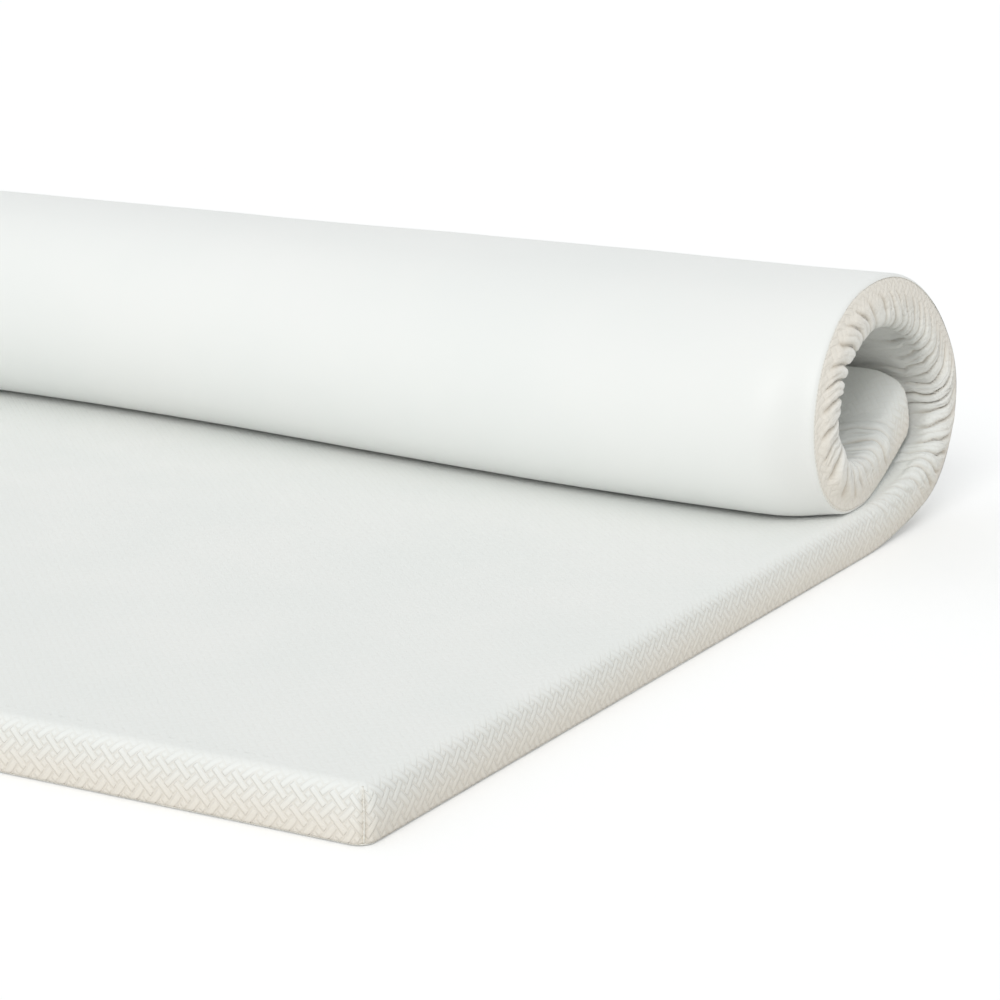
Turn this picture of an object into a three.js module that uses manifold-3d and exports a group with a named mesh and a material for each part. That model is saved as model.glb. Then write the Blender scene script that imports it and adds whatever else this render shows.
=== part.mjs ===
// Memory foam mattress topper in a zipped cover, lying on the floor with its far part rolled up.
//
// Every soft piece is first laid out on the flat topper: "across" runs from its left side to its
// right side, "along" from the near end to the rolled end, and "height" from the underside up.
// bend() then carries each point to its place on the floor or in the roll. The zip sits on the
// straight last stretch of the roll, so it is built flat and turned into place as one group.

import * as THREE from "three";
import { mergeVertices } from "three/addons/utils/BufferGeometryUtils.js";
import Module from "manifold-3d";

const wasm = await Module();
wasm.setup();

// Driving dimensions of the topper, in millimetres
const topperWidth = 1400;
const topperLength = 2000;
const topperThickness = 50;
const coverClothThickness = 1.6;
const bottomClothThickness = 1.2;
const touchGap = 0.3;

// Rounding of the stuffed cover: seen from above at its corners, and along its top edges
const cornerRadius = 16;
const topEdgeRadius = 12;
const hemDrawIn = 0.6;
const hemHeight = 3;
const foamEdgeRadius = 9;

// The roll: its radii as shares of one radius, each up to a heading in degrees. Heading 0 lies
// flat, 180 is the crown of the roll, and at 360 the layer is down on the flat part again.
const rollRadius = 122;
const rollTurns = [
  { heading: 14, radiusShare: 5.4 },
  { heading: 40, radiusShare: 0.92 },
  { heading: 78, radiusShare: 0.98 },
  { heading: 126, radiusShare: 0.76 },
  { heading: 160, radiusShare: 2.1 },
  { heading: 195, radiusShare: 1.9 },
  { heading: 265, radiusShare: 1.02 },
  { heading: 292, radiusShare: 0.86 },
];
const footHeading = 360;
const innerTurns = [
  { heading: 368, radiusShare: 4.9 },
  { heading: 388, radiusShare: 1.5 },
];
const tipToWall = 11.7;

// How the hand-made roll strays: turns set back along the axis, and a foot line that wanders and
// is drawn back at the roll's right end
const setBackAtFoot = 8;
const setBackAtTip = 26;
const footAhead = 44;
const footBehind = 49;
const footSwingShares = { from: 0.06, to: 0.81 };
const footDrawnBack = 38;
const footDrawnReach = 34;

// The rolled-in end: its top edge slides ahead of its lower edge, and stands at a share of the
// hollow's height between its drooping corners
const endSlide = 17;
const endTopShare = 0.616;
const cornerDroopReach = 50;

// Gathers of the side cloth where the topper bends
const gatherDepth = 3;

// Fineness of the soft solids
const cornerSteps = 2;
const sideColumns = [20, 34, 52, 88];
const middleColumnCount = 4;
const turnStep = 10;
const longestStep = 30;
const endStretchRows = 2;

// Sewn seams
const edgeSeamRadius = 1.7;
const edgeSeamInset = 3;
const cornerSeamRadius = 1.2;
const seamSides = 5;

// Zip in the rolled-in end
const zipEndMargin = 60;
const zipOpeningHeight = 12;
const zipHeightOnSide = 26;
const tapeThickness = 0.6;
const tapeReach = 12;
const tapeTail = 8;
const coilRadius = 1.1;
const coilSides = 8;
const bartackLength = 3;
const bartackHeight = 8;
const bartackThickness = 1.4;

// Slider and pull tab
const sliderLength = 11.5;
const sliderNoseShare = 0.76;
const plateThickness = 1;
const flangeThickness = 1;
const stemWidth = 1.2;
const stemLength = 3;
const runningGap = 0.4;
const archLength = 6.8;
const archWidth = 1.8;
const archBar = 0.9;
const archInside = 2.3;
const tabLength = 12;
const tabWidth = 6.4;
const tabThickness = 1.2;
const tabEyeGap = 0.6;

const degree = Math.PI / 180;
const cutOverrun = 2;

const smooth = (share) => {
  const s = THREE.MathUtils.clamp(share, 0, 1);
  return s * s * (3 - 2 * s);
};

// A stretch of the roll's outer face (height 0): where it starts, its heading there, and its turn.
// Length along the topper is measured halfway through its thickness.
function arcFrom(start, toHeading, radius) {
  const turn = toHeading * degree - start.heading;
  const centre = {
    y: start.y - radius * Math.sin(start.heading),
    z: start.z + radius * Math.cos(start.heading),
  };
  const heading = start.heading + turn;
  return {
    start,
    centre,
    radius,
    turn,
    length: (radius - topperThickness / 2) * turn,
    end: {
      y: centre.y + radius * Math.sin(heading),
      z: centre.z - radius * Math.cos(heading),
      heading,
    },
  };
}

function straightFrom(start, length) {
  return {
    start,
    turn: 0,
    length,
    end: {
      y: start.y + length * Math.cos(start.heading),
      z: start.z + length * Math.sin(start.heading),
      heading: start.heading,
    },
  };
}

function arcsFrom(start, turns) {
  const arcs = [];
  let at = start;
  for (const { heading, radiusShare } of turns) {
    arcs.push(arcFrom(at, heading, rollRadius * radiusShare));
    at = arcs.at(-1).end;
  }
  return arcs;
}

// The loop's last arc brings the outer face down to rest on the flat part's top face.
function rollArcs() {
  const arcs = arcsFrom({ y: 0, z: 0, heading: 0 }, rollTurns);
  const at = arcs.at(-1).end;
  const drop = at.z - topperThickness - touchGap;
  arcs.push(arcFrom(at, footHeading, drop / (1 - Math.cos(at.heading))));
  return arcs;
}

// Inside the loop the layer lies on the one below it: on its flat part, then up its bend.
const loop = rollArcs();
const foot = loop.at(-1).end;
const innerRest = straightFrom(foot, -foot.y);
const innerArcs = arcsFrom(innerRest.end, innerTurns);
const tipStart = innerArcs.at(-1).end;
const behind = loop.find(({ end }) => end.heading > Math.PI / 2);
const wallInside = behind.centre.y + behind.radius - topperThickness;
const tip = straightFrom(
  tipStart,
  (wallInside - tipToWall - tipStart.y) / Math.cos(tipStart.heading),
);
const rolled = [...loop, innerRest, ...innerArcs, tip];
const rolledLength = rolled.reduce((sum, piece) => sum + piece.length, 0);
const flatLength = topperLength - rolledLength;

// Every stretch with the distance along the topper at which it starts
const stretches = [straightFrom({ y: -flatLength, z: 0, heading: 0 }, flatLength), ...rolled];
let distance = 0;
for (const stretch of stretches) {
  stretch.from = distance;
  distance += stretch.length;
}
const crown = loop.find(({ end }) => end.heading > Math.PI);
const crownAt = crown.from;
const footAt = innerRest.from;
const tipStraightAt = topperLength - tip.length;

const stretchAt = (along) =>
  stretches.findLast((stretch) => along >= stretch.from) ?? stretches[0];

// Shift of a turn along the roll's axis: little as far as the foot, then more to the tip
function setBack(along) {
  const toFoot = smooth((along - flatLength) / (footAt - flatLength));
  const toTip = smooth((along - footAt) / (tipStraightAt - footAt));
  return setBackAtFoot * toFoot + (setBackAtTip - setBackAtFoot) * toTip;
}

// Wander of the foot line: the loop's near side stands forward on the right and back on the left
function footShift(across) {
  const share = (topperWidth / 2 - across) / topperWidth;
  const { from, to } = footSwingShares;
  const wander = THREE.MathUtils.lerp(-footAhead, footBehind, smooth((share - from) / (to - from)));
  const fromRight = (topperWidth / 2 - across) / footDrawnReach;
  return wander + footDrawnBack * Math.exp(-(fromRight ** 2));
}

// Rise of the rolled-in end between its drooping corners
const hollowHeight = crown.centre.z + crown.radius - 2 * topperThickness;
const cornerTop =
  tip.end.z +
  topperThickness * Math.cos(tip.end.heading) +
  (endSlide / 2) * Math.sin(tip.end.heading);
const cornerDroop = topperThickness + hollowHeight * endTopShare - cornerTop;
function endRise(across) {
  const fromSide = (topperWidth / 2 - Math.abs(across)) / cornerDroopReach;
  return cornerDroop * (1 - (1 - THREE.MathUtils.clamp(fromSide, 0, 1)) ** 2);
}

// Place on the floor or in the roll of a point of the flat topper. From the crown to the foot the
// loop leans by the foot's wander, and the layer inside slides along its own curve by what is left.
function bend(across, along, height) {
  const lean = footShift(across) * smooth((along - crownAt) / (footAt - crownAt));
  const inside = along >= footAt;
  const left = 1 - smooth((along - footAt) / (tipStraightAt - footAt));
  const toEnd = smooth((along - footAt) / (topperLength - footAt));
  const slide = endSlide * toEnd * (height / topperThickness - 1 / 2);
  const slid = inside ? along + footShift(across) * left + slide : along;
  const stretch = stretchAt(inside ? Math.max(slid, footAt) : along);
  const { start } = stretch;
  const into = slid - stretch.from;
  const heading = start.heading + (stretch.turn * into) / stretch.length;
  let y = start.y;
  let z = start.z;
  if (stretch.turn) {
    const reach = stretch.radius - height;
    y = stretch.centre.y + reach * Math.sin(heading);
    z = stretch.centre.z - reach * Math.cos(heading);
  } else {
    y += into * Math.cos(heading) - height * Math.sin(heading);
    z += into * Math.sin(heading) + height * Math.cos(heading);
  }
  z += endRise(across) * toEnd ** 1.5;
  return new THREE.Vector3(across - setBack(along), y + (inside ? 0 : lean), z);
}

// How much the side cloth is bunched at a place: none where flat, all on the tight bends
function bunching(along) {
  const stretch = stretchAt(along);
  return stretch.turn ? Math.min(1, rollRadius / stretch.radius) : 0;
}

// Rows of the flat outline: distance along, half width there, and the outward direction of its
// two side points. The corners are quarter circles.
function outlineRows() {
  const rows = [];
  const corner = (share) => {
    const angle = (share * Math.PI) / 2;
    return {
      half: topperWidth / 2 - cornerRadius * (1 - Math.sin(angle)),
      inFrom: cornerRadius * (1 - Math.cos(angle)),
      outX: Math.sin(angle),
      outY: Math.cos(angle),
    };
  };
  for (let i = 0; i <= cornerSteps; i++) {
    const { half, inFrom, outX, outY } = corner(i / cornerSteps);
    rows.push({ along: inFrom, half, outX, outY: -outY, gather: 0 });
  }
  const side = (along, gather) =>
    rows.push({ along, half: topperWidth / 2, outX: 1, outY: 0, gather });
  let bulge = 0;
  for (const stretch of stretches.slice(1, -1)) {
    const byTurn = Math.abs(stretch.turn) / (turnStep * degree);
    const steps = Math.ceil(Math.max(byTurn, stretch.length / longestStep));
    for (let i = 0; i < steps; i++) {
      const along = stretch.from + (stretch.length * i) / steps;
      side(along, bulge * bunching(along));
      bulge = 1 - bulge;
    }
  }
  const last = stretches.at(-1).from;
  for (let i = 0; i < endStretchRows; i++)
    side(last + ((topperLength - cornerRadius - last) * i) / endStretchRows, 0);
  for (let i = cornerSteps; i >= 0; i--) {
    const { half, inFrom, outX, outY } = corner(i / cornerSteps);
    rows.push({ along: topperLength - inFrom, half, outX, outY, gather: 0 });
  }
  return rows;
}

const rows = outlineRows();

// Columns across the topper, the two sides themselves left open: close together near the sides,
// where the roll's ends change shape
const rightColumns = sideColumns.map((fromSide) => topperWidth / 2 - fromSide);
const middleColumns = Array.from(
  { length: middleColumnCount - 1 },
  (_, i) => rightColumns.at(-1) * ((2 * (i + 1)) / middleColumnCount - 1),
);
const leftColumns = rightColumns.map((across) => -across);
const columns = [null, ...leftColumns, ...middleColumns, ...rightColumns.reverse(), null];
const columnCount = columns.length - 1;

// A point on the outline drawn in by an inset, or in a column of a row between its two sides
function rowPoint(row, column, level) {
  const { inset, height, endInset = 0 } = level;
  const far = row.along > topperLength - 2 * cornerRadius;
  const along = row.along - inset * row.outY - (far ? endInset : 0);
  const bulge = (level.gathers ?? 0) * row.gather * gatherDepth;
  const half = row.half - (inset - bulge) * row.outX;
  return bend(columns[column] ?? (column ? half : -half), along, height);
}

// A closed solid from rings of the outline, each a level of inset and height. It starts with a
// face across the first ring and ends with one across the last, or runs round to its first ring.
function outlineSolid(levels, closesOnItself = false) {
  const points = [];
  const faces = [];
  const lastRow = rows.length - 1;
  const ringPlaces = [];
  for (let i = 0; i <= columnCount; i++) ringPlaces.push([0, i]);
  for (let j = 1; j <= lastRow; j++) ringPlaces.push([j, columnCount]);
  for (let i = columnCount - 1; i >= 0; i--) ringPlaces.push([lastRow, i]);
  for (let j = lastRow - 1; j >= 1; j--) ringPlaces.push([j, 0]);
  const around = ringPlaces.length;
  const addPoint = (j, i, level) =>
    points.push(rowPoint(rows[j], i, level)) - 1;
  const quad = (a, b, c, d) => faces.push(a, b, c, a, c, d);

  const rings = levels.map((level) => ringPlaces.map(([j, i]) => addPoint(j, i, level)));
  const joins = closesOnItself ? levels.length : levels.length - 1;
  for (let k = 0; k < joins; k++) {
    const low = rings[k];
    const high = rings[(k + 1) % levels.length];
    for (let n = 0; n < around; n++) {
      const m = (n + 1) % around;
      quad(low[n], low[m], high[m], high[n]);
    }
  }
  const faceAcross = (ring, level, up) => {
    const grid = rows.map(() => []);
    ringPlaces.forEach(([j, i], n) => (grid[j][i] = ring[n]));
    for (let j = 1; j < lastRow; j++)
      for (let i = 1; i < columnCount; i++) grid[j][i] = addPoint(j, i, level);
    for (let j = 0; j < lastRow; j++)
      for (let i = 0; i < columnCount; i++) {
        const [a, b] = [grid[j][i], grid[j + 1][i + 1]];
        const [right, left] = [grid[j][i + 1], grid[j + 1][i]];
        quad(a, up ? right : left, b, up ? left : right);
      }
  };
  if (!closesOnItself) {
    faceAcross(rings[0], levels[0], false);
    faceAcross(rings.at(-1), levels.at(-1), true);
  }
  const geometry = new THREE.BufferGeometry().setFromPoints(points);
  geometry.setIndex(faces);
  return geometry;
}

// Side profile of the stuffed cover at a depth under its outer face, from hem to top edge
const seamHeight = bottomClothThickness + edgeSeamRadius;
const seamReach = edgeSeamRadius + touchGap;
const rimOffset = edgeSeamInset - hemDrawIn - coverClothThickness;
const rimHeight = seamHeight + Math.sqrt(seamReach ** 2 - rimOffset ** 2);
const edgeSteps = 3;

function sideLevels(depth) {
  const radius = topEdgeRadius - depth;
  const levels = [
    { inset: hemDrawIn + depth, height: rimHeight, gathers: 0 },
    { inset: depth, height: rimHeight + hemHeight, gathers: 0.3 },
  ];
  for (let i = 0; i <= edgeSteps; i++) {
    const angle = ((i / edgeSteps) * Math.PI) / 2;
    levels.push({
      inset: topEdgeRadius - radius * Math.cos(angle),
      height: topperThickness - topEdgeRadius + radius * Math.sin(angle),
      gathers: 1 - i / edgeSteps,
    });
  }
  return levels;
}

const material = (color, roughness, metalness = 0) =>
  new THREE.MeshStandardMaterial({ color, roughness, metalness });
const jacquard = material(0xe9e7e0, 0.85);
const smoothCloth = material(0xf0f1ef, 0.6);
const memoryFoam = material(0xf2eedd, 0.95);
const thread = material(0xefece4, 0.8);
const zipTape = material(0xf1f0ec, 0.85);
const coilNylon = material(0xf4f4f2, 0.35);
const sliderMetal = material(0xd9dadb, 0.3, 0.9);

const topper = new THREE.Group();

function addMesh(name, geometry, finish, parent = topper) {
  const mesh = new THREE.Mesh(geometry, finish);
  mesh.name = name;
  parent.add(mesh);
  return mesh;
}

// Solids for joining and cutting
function solidFrom(geometry) {
  const plain = geometry.clone();
  plain.deleteAttribute("normal");
  plain.deleteAttribute("uv");
  const merged = mergeVertices(plain);
  return new wasm.Manifold(
    new wasm.Mesh({
      numProp: 3,
      vertProperties: merged.attributes.position.array,
      triVerts: new Uint32Array(merged.index.array),
    }),
  );
}

function geometryFrom(solid) {
  const { vertProperties, triVerts } = solid.getMesh();
  const geometry = new THREE.BufferGeometry();
  geometry.setAttribute("position", new THREE.BufferAttribute(vertProperties, 3));
  geometry.setIndex(new THREE.BufferAttribute(triVerts, 1));
  return geometry;
}

const joined = (...geometries) =>
  geometryFrom(geometries.map(solidFrom).reduce((a, b) => a.add(b)));

const block = (low, high) =>
  new THREE.BoxGeometry(...high.map((value, k) => value - low[k])).translate(
    ...high.map((value, k) => (value + low[k]) / 2),
  );

// End frame: across the topper, straight out of its rolled-in end, and up its tilted end face
const zipOpeningLength = topperWidth - 2 * zipEndMargin;
const endTilt = Math.atan(endSlide / topperThickness);
const endFrame = new THREE.Group();
endFrame.position.copy(bend(0, topperLength, 0));
endFrame.rotation.x = tip.start.heading - endTilt;
endFrame.updateMatrix();
topper.add(endFrame);

// Depths under the outer face of the rolled-in end
const tapeFace = -coverClothThickness - touchGap;
const tapeBack = tapeFace - tapeThickness;
const sliderBack = tapeBack - touchGap - plateThickness;
const foamFace = sliderBack - touchGap;

// Memory foam core
const foamInset = coverClothThickness + 2 * touchGap + tapeThickness;
const foamBottom = bottomClothThickness + touchGap;
const foamTop = topperThickness - coverClothThickness - touchGap;
const foamEndInset = -foamFace / Math.cos(endTilt) - foamInset;
addMesh(
  "foam_core",
  outlineSolid(
    [
      { inset: foamInset + foamEdgeRadius / 2, height: foamBottom },
      { inset: foamInset, height: foamBottom + foamEdgeRadius / 2 },
      { inset: foamInset, height: foamTop - foamEdgeRadius },
      { inset: foamInset + foamEdgeRadius, height: foamTop },
    ].map((level) => ({ ...level, endInset: foamEndInset })),
  ),
  memoryFoam,
);

// Top cloth, one piece that is turned down over all four sides, with the zip's opening cut in it
const coverSolid = solidFrom(
  outlineSolid([...sideLevels(coverClothThickness).reverse(), ...sideLevels(0)]),
);
const zipOpening = block(
  [
    -zipOpeningLength / 2,
    -coverClothThickness - cutOverrun,
    zipHeightOnSide - zipOpeningHeight / 2,
  ],
  [zipOpeningLength / 2, cutOverrun, zipHeightOnSide + zipOpeningHeight / 2],
).applyMatrix4(endFrame.matrix);
addMesh(
  "cover_top",
  geometryFrom(coverSolid.subtract(solidFrom(zipOpening))),
  jacquard,
);

// Bottom cloth, as far as the seam that joins it to the sides
const bottomInset = edgeSeamInset + Math.sqrt(seamReach ** 2 - edgeSeamRadius ** 2);
addMesh(
  "cover_bottom",
  outlineSolid([
    { inset: bottomInset, height: 0 },
    { inset: bottomInset, height: bottomClothThickness },
  ]),
  smoothCloth,
);

// Seam ridge all round the lower edge
const edgeSeamLevels = Array.from({ length: seamSides }, (_, k) => {
  const angle = ((k + 0.25) / seamSides) * 2 * Math.PI;
  return {
    inset: edgeSeamInset - edgeSeamRadius * Math.cos(angle),
    height: seamHeight - edgeSeamRadius * Math.sin(angle),
  };
});
addMesh("edge_seam", outlineSolid(edgeSeamLevels.reverse(), true), thread);

// Upright seam at each corner, outside the cloth and following its side and top edge
function cornerSeam(side, nearEnd) {
  const diagonal = Math.SQRT1_2;
  const standOff = cornerSeamRadius + touchGap;
  const { height: hem } = sideLevels(0)[1];
  const path = [
    { inset: -standOff, height: hem },
    { inset: -standOff, height: topperThickness - topEdgeRadius },
  ];
  for (let i = 1; i <= edgeSteps; i++) {
    const angle = ((i / edgeSteps) * Math.PI) / 2;
    const reach = topEdgeRadius + standOff;
    path.push({
      inset: topEdgeRadius - reach * Math.cos(angle),
      height: topperThickness - topEdgeRadius + reach * Math.sin(angle),
    });
  }
  const slope = (k) => {
    const a = path[Math.max(0, k - 1)];
    const b = path[Math.min(path.length - 1, k + 1)];
    return Math.atan2(b.height - a.height, a.inset - b.inset);
  };
  const points = [];
  path.forEach(({ inset, height }, k) => {
    const tilt = slope(k);
    for (let n = 0; n < seamSides; n++) {
      const angle = (n / seamSides) * 2 * Math.PI;
      const off = cornerSeamRadius * Math.cos(angle);
      const sideways = cornerSeamRadius * Math.sin(angle) * diagonal;
      const reach = (cornerRadius - inset + off * Math.sin(tilt)) * diagonal;
      const rise = height - off * Math.cos(tilt);
      const across = side * (topperWidth / 2 - cornerRadius + reach + sideways);
      const inFrom = cornerRadius - reach + sideways;
      points.push(bend(across, nearEnd ? inFrom : topperLength - inFrom, rise));
    }
  });
  const faces = [];
  const turned = side > 0 === nearEnd;
  const face = (a, b, c) => faces.push(a, turned ? b : c, turned ? c : b);
  for (let k = 0; k < path.length - 1; k++)
    for (let n = 0; n < seamSides; n++) {
      const m = (n + 1) % seamSides;
      const [a, b, c, d] = [n, m, m + seamSides, n + seamSides].map((i) => i + k * seamSides);
      face(a, b, c);
      face(a, c, d);
    }
  const end = (path.length - 1) * seamSides;
  for (let n = 1; n < seamSides - 1; n++) {
    face(0, n + 1, n);
    face(end, end + n, end + n + 1);
  }
  return new THREE.BufferGeometry().setFromPoints(points).setIndex(faces);
}

for (const [name, side, nearEnd] of [
  ["corner_seam_near_right", 1, true],
  ["corner_seam_near_left", -1, true],
  ["corner_seam_far_right", 1, false],
  ["corner_seam_far_left", -1, false],
])
  addMesh(name, cornerSeam(side, nearEnd), thread);

// Zip tapes behind the cloth, and the coils on them, apart by the slider's stem
const coilApart = stemWidth / 2 + runningGap;
const coilLength = zipOpeningLength - 2 * (bartackLength + 2 * touchGap);
const coilCentre = coilApart + coilRadius;
const coilDepth = tapeFace + touchGap + coilRadius;
for (const [name, way] of [
  ["upper", 1],
  ["lower", -1],
]) {
  const tapeEdges = [way * coilApart, way * tapeReach].sort((a, b) => a - b);
  const tapeHalf = zipOpeningLength / 2 + tapeTail;
  addMesh(
    "zip_tape_" + name,
    block(
      [-tapeHalf, tapeBack, zipHeightOnSide + tapeEdges[0]],
      [tapeHalf, tapeFace, zipHeightOnSide + tapeEdges[1]],
    ),
    zipTape,
    endFrame,
  );
  const coil = new THREE.CylinderGeometry(coilRadius, coilRadius, coilLength, coilSides);
  coil.rotateZ(Math.PI / 2).rotateX(Math.PI / coilSides);
  coil.translate(0, coilDepth, zipHeightOnSide + way * coilCentre);
  addMesh("zip_coil_" + name, coil, coilNylon, endFrame);
}

// Bar tacks that close the zip's two ends
for (const [name, way] of [
  ["left", -1],
  ["right", 1],
]) {
  const ends = [0, bartackLength].map(
    (inward) => way * (zipOpeningLength / 2 - touchGap - inward),
  );
  ends.sort((a, b) => a - b);
  const face = tapeFace + touchGap;
  addMesh(
    "zip_bartack_" + name,
    block(
      [ends[0], face, zipHeightOnSide - bartackHeight / 2],
      [ends[1], face + bartackThickness, zipHeightOnSide + bartackHeight / 2],
    ),
    thread,
    endFrame,
  );
}

// Slider, parked at the zip's left end, and its pull tab lying back over the closed coils.
// Its frame: along the zip, out of the cloth, and up through the thickness.
const sliderFrame = new THREE.Group();
const parkedAt = -coilLength / 2 + sliderLength / 2 + touchGap;
sliderFrame.position.set(parkedAt, 0, zipHeightOnSide);
endFrame.add(sliderFrame);

const plateFace = coilDepth + coilRadius + touchGap;
const plateTop = plateFace + plateThickness;
const flangeInside = coilCentre + coilRadius + touchGap;
const shoulder = flangeInside + flangeThickness;

// Shield outline of a plate: full width at the shoulders, narrower at the nose
function plateOutline() {
  const nose = shoulder * sliderNoseShare;
  const half = sliderLength / 2;
  const corner = flangeThickness;
  const shape = new THREE.Shape();
  shape.moveTo(-half, -shoulder + corner);
  shape.quadraticCurveTo(-half, -shoulder, -half + corner, -shoulder);
  shape.lineTo(0, -shoulder);
  shape.quadraticCurveTo(half, -nose, half, 0);
  shape.quadraticCurveTo(half, nose, 0, shoulder);
  shape.lineTo(-half + corner, shoulder);
  shape.quadraticCurveTo(-half, shoulder, -half, shoulder - corner);
  return shape;
}

// Extrusion of an outline in the plane of the zip, between two depths
function slab(shape, from, to) {
  const geometry = new THREE.ExtrudeGeometry(shape, {
    depth: to - from,
    bevelEnabled: false,
    curveSegments: 4,
  });
  return geometry.rotateX(Math.PI / 2).translate(0, to, 0);
}

const archFoot = plateTop - touchGap;
const archTop = plateTop + archInside + archBar;
const bodyParts = [
  slab(plateOutline(), plateFace, plateTop),
  slab(plateOutline(), sliderBack, sliderBack + plateThickness),
  block(
    [-sliderLength / 2, sliderBack + plateThickness / 2, -stemWidth / 2],
    [-sliderLength / 2 + stemLength, plateFace + plateThickness / 2, stemWidth / 2],
  ),
  block(
    [-archLength / 2, plateTop + archInside, -archWidth / 2],
    [archLength / 2, archTop, archWidth / 2],
  ),
];
for (const way of [-1, 1]) {
  const edges = [way * flangeInside, way * shoulder].sort((a, b) => a - b);
  bodyParts.push(
    block(
      [-sliderLength / 2 + flangeThickness, tapeFace + touchGap, edges[0]],
      [0, plateFace + plateThickness / 2, edges[1]],
    ),
  );
  const leg = [(way * archLength) / 2, way * (archLength / 2 - archBar)].sort((a, b) => a - b);
  bodyParts.push(
    block([leg[0], archFoot, -archWidth / 2], [leg[1], archTop - archBar / 2, archWidth / 2]),
  );
}
addMesh("slider_body", joined(...bodyParts), sliderMetal, sliderFrame);

// Pull tab: an eye round the arch, and a rounded blade. Its bar under the arch is the pivot.
const pivotHeight = plateTop + archInside / 2;
const eyeReach =
  Math.hypot(archLength / 2, archTop - pivotHeight) + tabEyeGap;
function tabOutline() {
  const half = tabWidth / 2;
  const back = -tabThickness / 2;
  const round = half;
  const shape = new THREE.Shape();
  shape.moveTo(back, -half + tabThickness / 2);
  shape.quadraticCurveTo(back, -half, back + tabThickness / 2, -half);
  shape.lineTo(tabLength - round, -half);
  shape.absarc(tabLength - round, 0, round, -Math.PI / 2, Math.PI / 2, false);
  shape.lineTo(back + tabThickness / 2, half);
  shape.quadraticCurveTo(back, half, back, half - tabThickness / 2);
  const eye = new THREE.Path();
  const eyeHalf = archWidth / 2 + tabEyeGap;
  eye.moveTo(tabThickness / 2, -eyeHalf);
  eye.lineTo(tabThickness / 2, eyeHalf);
  eye.lineTo(eyeReach, eyeHalf);
  eye.lineTo(eyeReach, -eyeHalf);
  shape.holes.push(eye);
  return shape;
}
addMesh(
  "pull_tab",
  slab(tabOutline(), pivotHeight - tabThickness / 2, pivotHeight + tabThickness / 2),
  sliderMetal,
  sliderFrame,
);

// The origin is under the middle of the whole topper, on the floor.
const wholeTopper = new THREE.Group();
wholeTopper.add(topper);
wholeTopper.updateMatrixWorld(true);
const box = new THREE.Box3().setFromObject(wholeTopper, true);
const middle = box.getCenter(new THREE.Vector3());
topper.position.set(-middle.x, -middle.y, -box.min.z);

export default wholeTopper;
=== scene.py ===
# %% [markdown]
# # A memory foam mattress topper, half rolled up
# The real object is a slab of foam in a white cover. The cover has two cloths. A thick jacquard with a raised
# basket weave covers the top and all four sides, and a smooth knit covers the underside. Here the far part is
# rolled over itself, so the smooth underside shows as the outside of the roll, and the jacquard gathers into
# folds wherever the slab bends.
#
# The way used here is a tailor's: each cloth starts as a flat pattern, is folded over the edges of a flat
# slab, gets its folds and relief there, and only then is the whole slab bent into the roll. On a flat slab
# every direction is simple, so each step is a short formula on whole arrays of points.

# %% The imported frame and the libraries
import math
import bmesh
import bpy
import numpy as np
from mathutils import Matrix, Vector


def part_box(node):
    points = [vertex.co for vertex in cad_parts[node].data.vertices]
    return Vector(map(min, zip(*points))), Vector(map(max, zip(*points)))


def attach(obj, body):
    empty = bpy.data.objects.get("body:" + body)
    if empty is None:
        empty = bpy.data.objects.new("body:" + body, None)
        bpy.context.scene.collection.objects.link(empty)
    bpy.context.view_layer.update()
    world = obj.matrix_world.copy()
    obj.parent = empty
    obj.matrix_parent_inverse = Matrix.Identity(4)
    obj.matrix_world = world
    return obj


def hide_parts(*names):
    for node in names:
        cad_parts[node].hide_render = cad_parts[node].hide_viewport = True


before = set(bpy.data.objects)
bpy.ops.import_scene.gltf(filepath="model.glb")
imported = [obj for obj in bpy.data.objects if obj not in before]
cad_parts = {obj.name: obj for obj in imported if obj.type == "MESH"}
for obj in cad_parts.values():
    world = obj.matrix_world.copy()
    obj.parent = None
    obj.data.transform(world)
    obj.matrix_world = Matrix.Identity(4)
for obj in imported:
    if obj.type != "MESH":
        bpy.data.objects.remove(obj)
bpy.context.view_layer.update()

mm = 0.001

# %% [markdown]
# ## Camera
# The photograph was taken with a fairly long lens from the right and a little above. Its place was found by
# matching the edges of the flat part, the contact line and the roll's outline.

# %% Camera of the photograph
camera_azimuth, camera_elevation = math.radians(29.606), math.radians(14.195)
camera_data = bpy.data.cameras.new("photo_camera")
camera_data.sensor_width = 36
camera_data.lens = 109.286
camera_data.clip_end = 100
photo_camera = bpy.data.objects.new("photo_camera", camera_data)
photo_camera.location = (1.8671, -2.4354, 0.8200)
photo_camera.rotation_euler = (math.pi / 2 - camera_elevation, 0, camera_azimuth)
bpy.context.scene.collection.objects.link(photo_camera)
bpy.context.scene.camera = photo_camera
print("camera at", [round(c, 3) for c in photo_camera.location])

# %% [markdown]
# ## The slab and its roll
# The underside of the slab follows a chain of arcs. Heading 0 lies flat on the floor, 180 is the crown of the
# roll, and at 360 the layer is back down on the flat part. Lengths are measured halfway through the foam,
# because foam neither stretches nor shrinks there when it bends.

# %% Sizes of the slab
width, length, thickness = 1400 * mm, 2000 * mm, 50 * mm
corner_radius, top_edge_radius = 16 * mm, 12 * mm
touch_gap = 0.3 * mm
cad_seam_radius, cad_seam_inset = 1.7 * mm, 3 * mm
roll_radius = 122 * mm
tip_to_wall, end_slide, end_top_share = 11.7 * mm, 17 * mm, 0.616

# Each stretch of the roll: the heading that it turns to, and its radius as a share of the roll's
roll_turns = [(14, 5.4), (40, 0.92), (78, 0.98), (126, 0.76)]
roll_turns += [(160, 2.1), (195, 1.9), (265, 1.02), (292, 0.86)]
inner_turns = [(368, 4.9), (388, 1.5)]


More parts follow.
